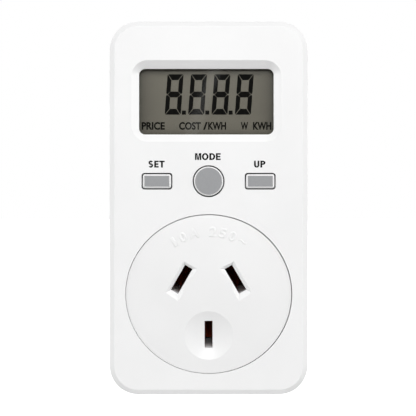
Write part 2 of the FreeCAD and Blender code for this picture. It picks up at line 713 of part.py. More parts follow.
def fuse_resistor():
    centre = Vector(FUSE_X, POWER_BOARD_Y - FUSE_R - 1.0, FUSE_Z)
    body = Part.makeCylinder(FUSE_R, FUSE_LONG, centre, Vector(1, 0, 0))
    body = body.makeFillet(0.6, [e for e in body.Edges if e.Closed])
    lead_t = 0.7
    lead_y = centre.y - lead_t / 2
    lead_z = FUSE_Z - lead_t / 2
    parts = [body]
    for lead_x, leg_x in ((8.0, 8.0), (17.0, 18.3)):
        parts.append(Part.makeBox(2.0, lead_t, lead_t, Vector(lead_x, lead_y, lead_z)))
        leg = Vector(leg_x, lead_y, lead_z)
        parts.append(Part.makeBox(lead_t, POWER_BOARD_Y - lead_y, lead_t, leg))
    return joined(parts)


def bridge_rectifier():
    return gull_wing_chip(15.0, 43.5, 8.0, 5.0, 2.6, POWER_BOARD_Y, -1, 2, 5.0)


def metering_chip():
    return gull_wing_chip(12.0, 51.3, 12.0, 5.0, 1.8, POWER_BOARD_Y, -1, 9, 1.27)


def microcontroller():
    return gull_wing_chip(-8.0, 50.0, 10.0, 9.0, 1.6, DISPLAY_BOARD_BACK_Y, 1, 12, 0.8)


def clock_crystal():
    lead_t = 0.3
    lead_y = DISPLAY_BOARD_BACK_Y + 1.0
    can = Part.makeCylinder(1.0, 6.0, Vector(4.0, lead_y + lead_t / 2, 47.0), Vector(0, 0, 1))
    legs = []
    for x in (3.4, 4.3):
        legs.append(Part.makeBox(lead_t, lead_t, 2.0, Vector(x, lead_y, 45.4)))
        foot = Vector(x, DISPLAY_BOARD_BACK_Y, 45.4)
        legs.append(Part.makeBox(lead_t, lead_y + lead_t - foot.y, lead_t, foot))
    return joined([can] + legs)


def shunt():
    """A bar of resistance alloy bent into a bridge between the two heavy pads."""
    t, tall = 1.0, 4.0
    top_y = POWER_BOARD_Y - tall
    parts = [Part.makeBox(SHUNT_LONG, t, SHUNT_WIDE, Vector(SHUNT_X, top_y, SHUNT_Z))]
    for x in (SHUNT_X, SHUNT_X + SHUNT_LONG - t):
        parts.append(Part.makeBox(t, tall, SHUNT_WIDE, Vector(x, top_y, SHUNT_Z)))
    return joined(parts)


def backup_battery():
    """Three button cells in a row along X."""
    cells = []
    for i in (-1, 0, 1):
        centre = Vector(BATTERY_X + i * CELL_PITCH, POWER_BOARD_Y - CELL_R - 1.3, BATTERY_Z)
        cell = Part.makeCylinder(CELL_R, CELL_T, centre, Vector(1, 0, 0))
        cells.append(cell.makeFillet(0.5, [e for e in cell.Edges if e.Closed]))
    return group(cells)


def battery_tags():
    """Nickel tags welded to both ends of the battery and soldered to the board."""
    t, tall, wide = 0.25, 8.0, 3.0
    low_x = BATTERY_X - CELL_PITCH - t
    high_x = BATTERY_X + CELL_PITCH + CELL_T
    tags = []
    for x in (low_x, high_x):
        place = Vector(x, POWER_BOARD_Y - tall, BATTERY_Z - wide / 2)
        tags.append(Part.makeBox(t, tall, wide, place))
    return group(tags)


def board_ribbon():
    """A flat cable between the boards that sags a little in the middle."""
    path = wire_path([
        (RIBBON_X, DISPLAY_BOARD_BACK_Y, RIBBON_Z),
        (RIBBON_X, -24.5, RIBBON_Z),
        (RIBBON_X, -18.5, RIBBON_Z - 2.7),
        (RIBBON_X, -12.5, RIBBON_Z),
        (RIBBON_X, POWER_BOARD_Y, RIBBON_Z),
    ])
    left, right = RIBBON_X - RIBBON_HALF_W, RIBBON_X + RIBBON_HALF_W
    low, high = RIBBON_Z - RIBBON_HALF_T, RIBBON_Z + RIBBON_HALF_T
    corners = [(left, low), (right, low), (right, high), (left, high), (left, low)]
    section = Part.makePolygon([Vector(x, DISPLAY_BOARD_BACK_Y, z) for x, z in corners])
    return path.makePipeShell([section], True, False)


def wires():
    """Insulated wires from the plug's tails and the contacts' tabs up to the power board."""
    tail_y = -9.75
    tab_y = -14.5
    pad_z = 31.0
    thick = 1.0
    thin = 0.6
    top_z = 6.1
    side_x = PIN_X - 1.0
    return {
        "live_feed_wire": insulated_wire(
            [
                (-side_x, tail_y, top_z),
                (-side_x - 0.4, tail_y, 11.5),
                (-10.5, tail_y, 17.0),
                (-15.0, tail_y, 22.5),
                (-15.4, tail_y, pad_z),
            ],
            thick,
        ),
        "live_load_wire": insulated_wire(
            [
                (-side_x, tab_y, top_z),
                (-side_x + 0.4, tab_y, 12.0),
                (-7.5, -12.6, 18.0),
                (-7.9, tail_y, 24.0),
                (-7.5, tail_y, pad_z),
            ],
            thick,
        ),
        "neutral_wire": insulated_wire(
            [
                (side_x, tail_y, top_z),
                (side_x, tail_y, 12.4),
                (side_x + 0.3, tab_y, 12.6),
                (side_x, tab_y, top_z),
            ],
            thick,
        ),
        "neutral_sense_wire": insulated_wire(
            [
                (7.36, tail_y, 4.25),
                (11.6, tail_y, 6.8),
                (14.0, tail_y, 13.0),
                (13.2, tail_y, 21.0),
                (11.0, tail_y - 0.1, pad_z),
            ],
            thin,
        ),
    }


def earth_strap():
    """A flat strap beside the earth pin's tail and the earth contact's tab."""
    return Part.makeBox(0.6, 6.9, 4.0, Vector(0.5, -15.5, EARTH_Z - 2.0))


def rating_label():
    floor_y = BACK_Y - LABEL_RECESS
    return slab(0, LABEL_Z, LABEL_W, LABEL_H, LABEL_R, floor_y, floor_y + LABEL_T)


def screws():
    head_back = BACK_Y - COUNTERBORE_DEPTH
    return {
        "case_screws": group(
            [screw(x, z, CASE_SCREW_R, 2.4, head_back, 1.8, -29.0) for x, z in CASE_SCREWS]
        ),
        "display_board_screws": group(
            [
                screw(x, z, SMALL_SCREW_R, 1.7, DISPLAY_BOARD_BACK_Y, 1.2, -34.0)
                for x, z in DISPLAY_SCREWS
            ]
        ),
        "power_board_screws": group(
            [
                flip_screw(x, z, SMALL_SCREW_R, 1.7, POWER_BOARD_Y, 1.2, -3.6)
                for x, z in POWER_SCREWS
            ]
        ),
        "carrier_screws": group(
            [
                screw(x, z, SMALL_SCREW_R, 1.9, CARRIER_BACK_Y, 1.3, -22.5)
                for x, z in CARRIER_SCREWS
            ]
        ),
        "clamp_screws": group(
            [
                flip_screw(
                    x, z, SMALL_SCREW_R, 1.9, BACK_FLOOR_Y - SNUG - CLAMP_T, 1.3, -1.4
                )
                for x, z in CLAMP_SCREWS
            ]
        ),
    }


def main():
    nodes = {
        "front_shell": front_shell(),
        "rear_shell": rear_shell(),
        "socket_face": socket_face(),
        "display_window": display_window(),
        "lcd_frame": lcd_frame(),
        "zebra_strips": zebra_strips(),
        "display_board": board(DISPLAY_BOARD_Y, DISPLAY_BOARD_BACK_Y, DISPLAY_SCREWS),
        "power_board": board(POWER_BOARD_Y, POWER_BOARD_BACK_Y, POWER_SCREWS),
        "microcontroller": microcontroller(),
        "clock_crystal": clock_crystal(),
        "metering_chip": metering_chip(),
        "bridge_rectifier": bridge_rectifier(),
        "shunt": shunt(),
        "x2_capacitor": x2_capacitor(),
        "smoothing_capacitors": smoothing_capacitors(),
        "varistor": varistor(),
        "fuse_resistor": fuse_resistor(),
        "backup_battery": backup_battery(),
        "battery_tags": battery_tags(),
        "board_ribbon": board_ribbon(),
        "contact_carrier": contact_carrier(),
        "pin_clamp": pin_clamp(),
        "earth_strap": earth_strap(),
        "rating_label": rating_label(),
        "switch_covers": group([switch_cover(x) for x in (-KEY_X, 0, KEY_X)]),
        "mode_keycap": mode_keycap(),
    }
    nodes.update(lcd_parts())
    nodes.update(wires())
    nodes.update(screws())
    for key, x in (("set", -KEY_X), ("mode", 0.0), ("up", KEY_X)):
        nodes[key + "_switch_base"] = switch_base(x)
        nodes[key + "_switch_plunger"] = switch_plunger(x)
        if x:
            nodes[key + "_keycap"] = side_keycap(x)
    for pin in PINS:
        nodes[pin + "_contact"] = contact(pin)
        nodes[pin + "_pin"] = plug_pin(pin)
        if pin != "earth":
            nodes[pin + "_pin_sleeve"] = pin_sleeve(pin)

    os.makedirs("parts", exist_ok=True)
    for name, shape in nodes.items():
        solids = shape.Solids
        if not solids or not all(s.isValid() for s in solids):
            print("not a valid solid:", name)
        shape.exportStep("parts/" + name + ".step")
    print(len(nodes), "nodes")


main()
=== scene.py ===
import math

import bpy
from mathutils import Matrix, Vector


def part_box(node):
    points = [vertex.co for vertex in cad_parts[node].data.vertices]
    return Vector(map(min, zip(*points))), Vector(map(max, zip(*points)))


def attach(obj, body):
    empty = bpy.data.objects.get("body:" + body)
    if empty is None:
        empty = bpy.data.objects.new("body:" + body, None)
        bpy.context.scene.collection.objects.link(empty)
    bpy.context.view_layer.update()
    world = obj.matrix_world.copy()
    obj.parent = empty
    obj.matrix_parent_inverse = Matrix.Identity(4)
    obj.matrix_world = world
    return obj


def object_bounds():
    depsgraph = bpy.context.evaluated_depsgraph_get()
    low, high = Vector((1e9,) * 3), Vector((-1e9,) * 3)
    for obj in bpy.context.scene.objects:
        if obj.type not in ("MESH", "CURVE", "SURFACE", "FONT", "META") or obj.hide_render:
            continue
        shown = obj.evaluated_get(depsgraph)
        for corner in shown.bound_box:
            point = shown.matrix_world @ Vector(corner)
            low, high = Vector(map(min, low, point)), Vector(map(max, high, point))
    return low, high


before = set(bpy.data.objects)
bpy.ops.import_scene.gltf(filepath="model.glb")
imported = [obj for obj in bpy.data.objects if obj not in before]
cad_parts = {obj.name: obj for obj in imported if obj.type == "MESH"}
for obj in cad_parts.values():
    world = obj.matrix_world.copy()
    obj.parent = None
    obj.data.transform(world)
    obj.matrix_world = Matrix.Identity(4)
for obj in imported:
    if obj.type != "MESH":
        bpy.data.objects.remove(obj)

# ---- The imported model and its box ----
cad_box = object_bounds()
MM = 0.001


# ---- Studio ----
# The meter stands on its flat lower end on a white table that is lit from below. A large lamp
# high in front shapes the face, a small one fills it, and two beside it and two behind light
# the sides and the back. The camera sees the world as plain white.
def linear(hex_colour):
    """The linear colour, as a shader takes it, of an sRGB hex value."""
    channels = [int(hex_colour[start:start + 2], 16) / 255 for start in (1, 3, 5)]
    return [c / 12.92 if c <= 0.04045 else ((c + 0.055) / 1.055) ** 2.4 for c in channels] + [1.0]


def new_material(name):
    """An empty material, for nodes to be added to."""
    material = bpy.data.materials.new(name)
    material.use_nodes = True
    material.node_tree.nodes.clear()
    return material


def add_node(material, kind, settings=None, **inputs):
    """Adds a node. Each input is set to a value, or linked to another node's output."""
    node = material.node_tree.nodes.new(kind)
    for name, value in (settings or {}).items():
        setattr(node, name, value)
    for name, value in inputs.items():
        socket = node.inputs[name.replace("_", " ")]
        if isinstance(value, bpy.types.NodeSocket):
            material.node_tree.links.new(value, socket)
        else:
            socket.default_value = value
    return node


def deselect():
    """Leaves nothing selected, because an operator acts on all that is."""
    bpy.ops.object.select_all(action="DESELECT")


# opal acrylic, which glows evenly and so takes no shadow
opal = new_material("opal_acrylic_table")
opal_cloud = add_node(opal, "ShaderNodeTexNoise", Scale=400.0, Detail=4.0)
opal_tone = add_node(opal, "ShaderNodeValToRGB", Fac=opal_cloud.outputs["Fac"])
opal_tone.color_ramp.elements[0].color = linear("#F7F7F7")
opal_tone.color_ramp.elements[1].color = linear("#FFFFFF")
opal_surface = add_node(
    opal, "ShaderNodeBsdfPrincipled", Base_Color=opal_tone.outputs["Color"], Roughness=0.9,
    Emission_Color=linear("#FFFFFF"), Emission_Strength=0.75,
)
add_node(opal, "ShaderNodeOutputMaterial", Surface=opal_surface.outputs["BSDF"])

FLOOR_HALF = 4.0
deselect()
bpy.ops.mesh.primitive_plane_add(size=2 * FLOOR_HALF, location=(0, 0, cad_box[0][2] - 0.05 * MM))
floor = bpy.context.object
floor.name = "studio_floor"
floor.data.materials.append(opal)
floor.visible_diffuse = False
floor.visible_glossy = False
floor.visible_shadow = False

world = bpy.data.worlds.new("white_studio")
bpy.context.scene.world = world
world.use_nodes = True
world_light = world.node_tree.nodes["Background"]
world_light.inputs["Color"].default_value = linear("#FFFFFF")
world_light.inputs["Strength"].default_value = 0.33
backdrop = add_node(world, "ShaderNodeBackground", Color=linear("#FFFFFF"), Strength=1.0)
seen = add_node(world, "ShaderNodeLightPath")
world_mix = add_node(world, "ShaderNodeMixShader", Fac=seen.outputs["Is Camera Ray"])
world.node_tree.links.new(world_light.outputs[0], world_mix.inputs[1])
world.node_tree.links.new(backdrop.outputs[0], world_mix.inputs[2])
world.node_tree.links.new(world_mix.outputs[0], world.node_tree.nodes["World Output"].inputs["Surface"])

FACE_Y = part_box("front_shell")[0][1]
AIM = Vector((0, FACE_Y, (cad_box[0][2] + cad_box[1][2]) / 2))


def add_lamp(name, place, power, width, height):
    """A soft lamp at a place, in metres from the middle of the face, turned to the face."""
    lamp = bpy.data.objects.new(name, bpy.data.lights.new(name, "AREA"))
    bpy.context.scene.collection.objects.link(lamp)
    lamp.data.shape = "RECTANGLE"
    lamp.data.size = width
    lamp.data.size_y = height
    lamp.data.energy = power
    lamp.location = AIM + Vector(place)
    lamp.rotation_euler = (-Vector(place)).to_track_quat("-Z", "Y").to_euler()
    lamp.visible_camera = False
    return lamp


add_lamp("key_lamp", (0.14, -1.18, 1.18), power=13.0, width=0.84, height=0.70)
add_lamp("low_front_lamp", (0, -1.12, 0.36), power=3.0, width=0.30, height=0.15)
add_lamp("table_lamp", (0, -0.02, -0.40), power=0.55, width=0.30, height=0.30)
for side in (-1, 1):
    add_lamp("side_lamp", (0.85 * side, -0.27, 0.09), power=2.6, width=0.40, height=0.40)
    add_lamp("back_lamp", (0.40 * side, 0.60, 0.05), power=2.0, width=0.40, height=0.40)

# a narrow lamp that the display window mirrors as one slanting gleam, before a black cloth
# that keeps the rest of the window and the contacts dark
gleam = add_lamp("gleam_lamp", (-0.005, -0.70, 0.104), power=0.0017, width=0.012, height=0.100)
gleam.rotation_euler = (math.radians(90), math.radians(20), 0)
velvet = new_material("black_velvet")
velvet_pile = add_node(velvet, "ShaderNodeTexNoise", Scale=900.0, Detail=3.0)
velvet_tone = add_node(velvet, "ShaderNodeValToRGB", Fac=velvet_pile.outputs["Fac"])
velvet_tone.color_ramp.elements[0].color = linear("#040404")
velvet_tone.color_ramp.elements[1].color = linear("#0C0C0C")
velvet_surface = add_node(velvet, "ShaderNodeBsdfDiffuse", Color=velvet_tone.outputs["Color"])
add_node(velvet, "ShaderNodeOutputMaterial", Surface=velvet_surface.outputs["BSDF"])
CLOTH_SIZE = 0.8
CLOTH_PLACE = AIM + Vector((0, -0.95, 0))
deselect()
bpy.ops.mesh.primitive_plane_add(size=CLOTH_SIZE, location=CLOTH_PLACE, rotation=(math.radians(90), 0, 0))
cloth = bpy.context.object
cloth.name = "black_cloth"
cloth.data.materials.append(velvet)
cloth.visible_camera = False
cloth.visible_diffuse = False
cloth.visible_shadow = False

bpy.context.scene.view_settings.view_transform = "Standard"

# ---- Camera ----
# Level, square to the face and a quarter of a metre in front of it.
CAMERA_AWAY = 0.250
camera = bpy.data.objects.new("camera", bpy.data.cameras.new("camera"))
bpy.context.scene.collection.objects.link(camera)
camera.location = (-0.15 * MM, FACE_Y - CAMERA_AWAY, 22.2 * MM)
camera.rotation_euler = (math.radians(90), 0, 0)
camera.data.lens = 84
camera.data.sensor_width = 36
bpy.context.scene.camera = camera


# ---- Case ----
# Two shells moulded in white ABS and screwed together from behind. The mould was spark
# eroded, so the skin is satin with a very fine grain, and the white is a touch cool.
def object_place(material):
    """Where a point lies in the part's own frame, in metres."""
    return add_node(material, "ShaderNodeTexCoord").outputs["Object"]


def moulded_plastic(name, shade, light, roughness, grain_mm, grain_depth_mm, flow_mm=14.0, coat=0.0,
                    mirroring=0.5):
    """A moulded plastic: a slow drift of tone from its flow in the mould, and a fine skin."""
    material = new_material(name)
    place = object_place(material)
    flow = add_node(material, "ShaderNodeTexNoise", Vector=place, Scale=1 / (flow_mm * MM), Detail=2.0)
    tone = add_node(material, "ShaderNodeValToRGB", Fac=flow.outputs["Fac"])
    tone.color_ramp.elements[0].position = 0.3
    tone.color_ramp.elements[0].color = linear(shade)
    tone.color_ramp.elements[1].position = 0.7
    tone.color_ramp.elements[1].color = linear(light)
    grain = add_node(material, "ShaderNodeTexNoise", Vector=place, Scale=1 / (grain_mm * MM), Detail=3.0)
    gloss = add_node(material, "ShaderNodeMapRange", Value=grain.outputs["Fac"], To_Min=roughness - 0.05,
                     To_Max=roughness + 0.05)
    skin = add_node(material, "ShaderNodeBump", Height=grain.outputs["Fac"], Distance=grain_depth_mm * MM)
    surface = add_node(
        material, "ShaderNodeBsdfPrincipled", Base_Color=tone.outputs["Color"],
        Roughness=gloss.outputs["Result"], Normal=skin.outputs["Normal"], Coat_Weight=coat,
        Specular_IOR_Level=mirroring,
    )
    add_node(material, "ShaderNodeOutputMaterial", Surface=surface.outputs["BSDF"])
    return material


def put_on(material, *nodes):
    """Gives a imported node, or several, its finish."""
    for node in nodes:
        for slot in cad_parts[node].material_slots:
            slot.material = material


# the grain is a tenth of a millimetre on the real one, and is drawn coarser so that it shows
white_abs = moulded_plastic("white_abs_moulded", "#ECECEC", "#EFEFEF", 0.42, 0.30, 0.005)
white_abs_rear = moulded_plastic("white_abs_moulded_rear", "#EBEBEB", "#EEEEEE", 0.46, 0.30, 0.006)
put_on(white_abs, "front_shell")
put_on(white_abs_rear, "rear_shell")


# ---- Socket face ----
# A separate oval insert in white polycarbonate, which takes the heat of the contacts. Its
# mould was polished, so it is smoother than the case and a shade darker.
white_polycarbonate = moulded_plastic("white_polycarbonate_moulded", "#EAEAEA", "#EDEDED", 0.34, 0.45, 0.003)
put_on(white_polycarbonate, "socket_face")


# ---- Rating on the socket face ----
# The rated current and voltage stand proud of the insert in shallow moulded figures. They
# follow an arc about the middle of the socket, and are the same plastic.
def text_mesh(name, words, weight=0.0, rounding=0.0):
    """Letters made a mesh, lying flat, a unit tall, with edges rounded if the mould has them."""
    deselect()
    bpy.ops.object.text_add()
    letters = bpy.context.object
    letters.name = name
    letters.data.body = words
    letters.data.resolution_u = 5
    letters.data.extrude = 0.05
    letters.data.bevel_depth = rounding
    letters.data.bevel_resolution = 2
    letters.data.offset = weight - rounding / 2
    bpy.ops.object.convert(target="MESH")
    return bpy.context.object


def corners(mesh):
    """The lowest and highest corners of a mesh."""
    places = [vertex.co for vertex in mesh.vertices]
    low = Vector([min(place[i] for place in places) for i in range(3)])
    high = Vector([max(place[i] for place in places) for i in range(3)])
    return low, high


def stand_up(letters, size, x, y, z):
    """Turns flat letters to face forward, at a width, height and thickness, about a point."""
    low, high = corners(letters.data)
    scale = [wanted / (high[axis] - low[axis]) for axis, wanted in enumerate(size)]
    fit = Matrix.Diagonal((*scale, 1)) @ Matrix.Translation(-(low + high) / 2)
    upright = Matrix.Rotation(math.radians(90), 4, "X")
    letters.data.transform(Matrix.Translation((x, y, z)) @ upright @ fit)


FIGURE_TALL = 2.6 * MM
FIGURE_PROUD = 0.14 * MM
FIGURE_ARC_R = 16.1 * MM
CROWN_R = 300 * MM
CROWN_APEX_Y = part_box("socket_face")[0][1]
# each figure with its width in millimetres and its place on the arc in degrees from the top
FIGURES = [("1", 1.0, -33.5), ("0", 1.8, -24.5), ("A", 2.3, -13.6),
           ("2", 1.8, 4.0), ("5", 1.8, 13.2), ("0", 1.8, 22.4), ("~", 2.2, 33.0)]
for order, (figure, width, turn) in enumerate(FIGURES):
    piece = text_mesh(f"rating_figure_{order + 1}", figure, weight=0.015, rounding=0.05)
    height = 0.8 * MM if figure == "~" else FIGURE_TALL
    size = (width * MM, height, 3 * FIGURE_PROUD)
    stand_up(piece, size, 0, CROWN_APEX_Y + FIGURE_PROUD / 2, FIGURE_ARC_R)
    piece.data.transform(Matrix.Rotation(math.radians(turn), 4, "Y"))
    for vertex in piece.data.vertices:
        vertex.co.y += (vertex.co.x ** 2 + vertex.co.z ** 2) / (2 * CROWN_R)
    piece.data.materials.append(white_polycarbonate)
    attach(piece, "case")


# ---- Display window ----
# A clear acrylic lens, moulded with polished faces and set in from behind. It mirrors a
# little of the studio at every angle and lets the rest through.
clear_acrylic = new_material("clear_acrylic_polished")
haze = add_node(clear_acrylic, "ShaderNodeTexNoise", Vector=object_place(clear_acrylic), Scale=1 / (6 * MM))
haze_gloss = add_node(clear_acrylic, "ShaderNodeMapRange", Value=haze.outputs["Fac"],
                      To_Min=0.02, To_Max=0.06)
facing = add_node(clear_acrylic, "ShaderNodeLayerWeight", Blend=0.5)
steep = add_node(clear_acrylic, "ShaderNodeMath", {"operation": "POWER"})
clear_acrylic.node_tree.links.new(facing.outputs["Facing"], steep.inputs[0])
steep.inputs[1].default_value = 5.0
mirrored = add_node(clear_acrylic, "ShaderNodeMapRange", Value=steep.outputs[0], To_Min=0.04, To_Max=1.0)
see_through = add_node(clear_acrylic, "ShaderNodeBsdfTransparent", Color=linear("#F6F6F4"))
mirror = add_node(clear_acrylic, "ShaderNodeBsdfGlossy", Roughness=haze_gloss.outputs["Result"])
lens = add_node(clear_acrylic, "ShaderNodeMixShader", Fac=mirrored.outputs["Result"])
clear_acrylic.node_tree.links.new(see_through.outputs[0], lens.inputs[1])
clear_acrylic.node_tree.links.new(mirror.outputs[0], lens.inputs[2])
add_node(clear_acrylic, "ShaderNodeOutputMaterial", Surface=lens.outputs[0])
put_on(clear_acrylic, "display_window")


# ---- Liquid crystal display ----
# Two panes of glass between polariser films, with a reflector behind. With the power off its
# face is a warm grey. Round the edge, where the window frame shades it, the shade is painted
# into the film's colour.
LCD_LOW, LCD_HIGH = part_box("front_polariser")
LCD_MIDDLE = (Vector(LCD_LOW) + Vector(LCD_HIGH)) / 2
LCD_FACE_Y = LCD_LOW[1]
polariser = new_material("polariser_film")
LCD_HALF_W = 17.6 * MM
LCD_HALF_H = 8.7 * MM
PAINTED_SHADE_STEEPNESS = 9.0
# painted shade: the film's colour darkens towards the window's edges, in place of the frame's shade
centred = add_node(
    polariser, "ShaderNodeMapping", Vector=object_place(polariser),
    Location=(-LCD_MIDDLE.x / LCD_HALF_W, 0, -LCD_MIDDLE.z / LCD_HALF_H),
    Scale=(1 / LCD_HALF_W, 0, 1 / LCD_HALF_H),
)
apart = add_node(polariser, "ShaderNodeSeparateXYZ", Vector=centred.outputs[0])
shade_terms_painted = []
for axis in "XZ":
    away = add_node(polariser, "ShaderNodeMath", {"operation": "ABSOLUTE"}, Value=apart.outputs[axis])
    painted_shade_axis = add_node(polariser, "ShaderNodeMath", {"operation": "POWER"}, Value=away.outputs[0])
    painted_shade_axis.inputs[1].default_value = PAINTED_SHADE_STEEPNESS
    shade_terms_painted.append(painted_shade_axis.outputs[0])
painted_edge_shade = add_node(polariser, "ShaderNodeMath", {"operation": "MAXIMUM"}, Value=shade_terms_painted[0])
polariser.node_tree.links.new(shade_terms_painted[1], painted_edge_shade.inputs[1])
# the ramp runs from the film's own grey in the middle to the painted shade at the edge
film_tone_and_painted_shade = add_node(polariser, "ShaderNodeValToRGB", Fac=painted_edge_shade.outputs[0])
film_tone_and_painted_shade.color_ramp.elements[0].color = linear("#7D7970")
film_tone_and_painted_shade.color_ramp.elements[1].color = linear("#4E4B45")
film_surface = add_node(polariser, "ShaderNodeBsdfPrincipled", Base_Color=film_tone_and_painted_shade.outputs["Color"],
                        Roughness=0.35)
add_node(polariser, "ShaderNodeOutputMaterial", Surface=film_surface.outputs["BSDF"])
put_on(polariser, "front_polariser")


def layered_glass(name, shade, light, roughness):
    """A thin dark sheet behind other sheets: nearly even in tone, with faint clouding."""
    return moulded_plastic(name, shade, light, roughness, 2.0, 0.001, flow_mm=9.0, coat=0.6)


put_on(layered_glass("lcd_glass", "#A8B3AE", "#B5BEB9", 0.08), "lcd_front_glass", "lcd_rear_glass")
put_on(layered_glass("reflector_film", "#9C9D99", "#A9AAA5", 0.30), "rear_reflector")

# ---- Digits ----
# Each digit is seven bars of liquid crystal, mitred where they meet and leaning a little to
# the right. All are on, as in a display test, so they are near black.
crystal_black = moulded_plastic("liquid_crystal_dark", "#070706", "#0D0D0C", 0.60, 0.5, 0.001, flow_mm=5.0,
                                mirroring=0.1)
INK_T = 0.03 * MM
DIGIT_W = 4.17 * MM
DIGIT_H = 10.5 * MM
DIGIT_LOW_Z = 46.55 * MM
DIGIT_LEFT_X = [(-11.45 + 6.1 * order) * MM for order in range(4)]
BAR_T = 1.50 * MM
SIDE_BAR_T = 1.10 * MM
BAR_GAP = 0.07 * MM
LEVEL_BAR_IN = 0.12 * MM
MIDDLE_BAR_IN = 0.45 * MM
CORNER_CUT = 0.15 * MM
WAIST = 0.36 * MM
LEAN = math.tan(math.radians(4.2))


def add_bar(outline):
    """A flat bar with the given corners, as a solid a few hundredths of a millimetre thick."""
    deselect()
    bpy.ops.mesh.primitive_circle_add(vertices=len(outline), radius=1, fill_type="NGON")
    bar = bpy.context.object
    for vertex, (x, z) in zip(bar.data.vertices, outline):
        vertex.co = (x, LCD_FACE_Y, z)
    bpy.ops.object.mode_set(mode="EDIT")
    bpy.ops.mesh.select_all(action="SELECT")
    bpy.ops.mesh.extrude_region_move(TRANSFORM_OT_translate={"value": (0, -INK_T, 0)})
    bpy.ops.mesh.select_all(action="SELECT")
    bpy.ops.mesh.normals_make_consistent(inside=False)
    bpy.ops.object.mode_set(mode="OBJECT")
    return bar


def join(pieces, name, material):
    """Joins pieces into one named piece with its finish, riding on the case."""
    deselect()
    for piece in pieces:
        piece.select_set(True)
    bpy.context.view_layer.objects.active = pieces[0]
    bpy.ops.object.join()
    whole = bpy.context.object
    whole.name = name
    whole.data.materials.clear()
    whole.data.materials.append(material)
    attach(whole, "case")
    return whole


def level_bar(z, out, inner_side):
    """A level bar. Its outer edge is long and its inner one is cut back by the mitres."""
    left = BAR_GAP + out
    right = DIGIT_W - BAR_GAP - out
    low, high = z, z + BAR_T
    cut = SIDE_BAR_T
    if inner_side == "low":
        return [(left, high), (left + cut, low), (right - cut, low), (right, high)]
    return [(left, low), (right, low), (right - cut, high), (left + cut, high)]


MIDDLE = DIGIT_H / 2
HALF_T = BAR_T / 2
digit_bars = [
    level_bar(DIGIT_H - BAR_T, LEVEL_BAR_IN, "low"),
    level_bar(0, LEVEL_BAR_IN, "high"),
    [(MIDDLE_BAR_IN, MIDDLE), (SIDE_BAR_T, MIDDLE - HALF_T), (DIGIT_W - SIDE_BAR_T, MIDDLE - HALF_T),
     (DIGIT_W - MIDDLE_BAR_IN, MIDDLE), (DIGIT_W - SIDE_BAR_T, MIDDLE + HALF_T),
     (SIDE_BAR_T, MIDDLE + HALF_T)],
]
for flip in (1, -1):
    for side in (1, -1):
        upright = [
            (0, DIGIT_H - 2 * CORNER_CUT), (CORNER_CUT, DIGIT_H - CORNER_CUT),
            (SIDE_BAR_T, DIGIT_H - BAR_T - BAR_GAP), (SIDE_BAR_T, MIDDLE + HALF_T + BAR_GAP),
            (2 * CORNER_CUT, MIDDLE + BAR_GAP), (0, MIDDLE + WAIST),
        ]
        if side < 0:
            upright = [(DIGIT_W - x, z) for x, z in upright]
        if flip < 0:
            upright = [(x, DIGIT_H - z) for x, z in upright]
        digit_bars.append(upright)

for order, left_x in enumerate(DIGIT_LEFT_X):
    bars = [
        add_bar([(left_x + x + LEAN * z, DIGIT_LOW_Z + z) for x, z in outline]) for outline in digit_bars
    ]
    join(bars, f"display_digit_{order + 1}", crystal_black)

# a square point stands after each of the first three digits
POINT_SIZE = 1.05 * MM
POINT_AFTER = 4.48 * MM
points = []
for left_x in DIGIT_LEFT_X[:3]:
    left, low = left_x + POINT_AFTER, DIGIT_LOW_Z
    right, high = left + POINT_SIZE, low + POINT_SIZE
    points.append(add_bar([(left, low), (right, low), (right, high), (left, high)]))
join(points, "display_points", crystal_black)

# ---- Display words ----
# Under the digits the same crystal forms the words that say what is being shown.
WORD_H = 2.02 * MM
WORD_MIDDLE_Z = 43.60 * MM
WORDS = [("PRICE", -17.44, -11.41), ("COST", -7.69, -2.0), ("/", -1.42, -0.25), ("KWH", -0.1, 4.55),
         ("W", 8.42, 10.31), ("KWH", 11.59, 16.34)]
words = []
for text, left, right in WORDS:
    word = text_mesh("display_word", text, weight=0.034)
    size = ((right - left) * MM, WORD_H, INK_T)
    stand_up(word, size, (left + right) / 2 * MM, LCD_FACE_Y - INK_T / 2, WORD_MIDDLE_Z)
    words.append(word)
join(words, "display_words", crystal_black)


# ---- Key legends ----
# The three keys are named in black ink, pad printed on the case in a bold plain letter. The
# sizes of the letters are in millimetres until a word is placed.
LETTER_H = 1.75
STEM = 0.46
BAR = 0.37
TURN_STEPS = 12
PRINT_T = 0.02 * MM
PRINT_Y = FACE_Y - PRINT_T / 2


def arc(x, z, across, up, start, end, steps=TURN_STEPS):
    """Points on an oval arc about a middle point, from one angle to another in degrees."""
    turns = [math.radians(start + (end - start) * step / steps) for step in range(steps + 1)]
    return [(x + across * math.cos(turn), z + up * math.sin(turn)) for turn in turns]


def stroke(path, thick):
    """The outline of a pen stroke of even thickness along a path."""
    left, right = [], []
    for order, place in enumerate(path):
        before = Vector(path[max(order - 1, 0)])
        after = Vector(path[min(order + 1, len(path) - 1)])
        along = (after - before).normalized()
        out = Vector((-along.y, along.x)) * thick / 2
        left.append(tuple(Vector(place) + out))
        right.append(tuple(Vector(place) - out))
    return left + right[::-1]


def letter_e(w):
    low, high = LETTER_H * 0.5 - BAR / 2, LETTER_H * 0.5 + BAR / 2
    arm = w - 0.08
    return [[(0, 0), (w, 0), (w, BAR), (STEM, BAR), (STEM, low), (arm, low), (arm, high), (STEM, high),
             (STEM, LETTER_H - BAR), (w, LETTER_H - BAR), (w, LETTER_H), (0, LETTER_H)]]


def letter_t(w):
    left, right = (w - STEM) / 2, (w + STEM) / 2
    top = LETTER_H - BAR
    return [[(left, 0), (right, 0), (right, top), (w, top), (w, LETTER_H), (0, LETTER_H), (0, top),
             (left, top)]]


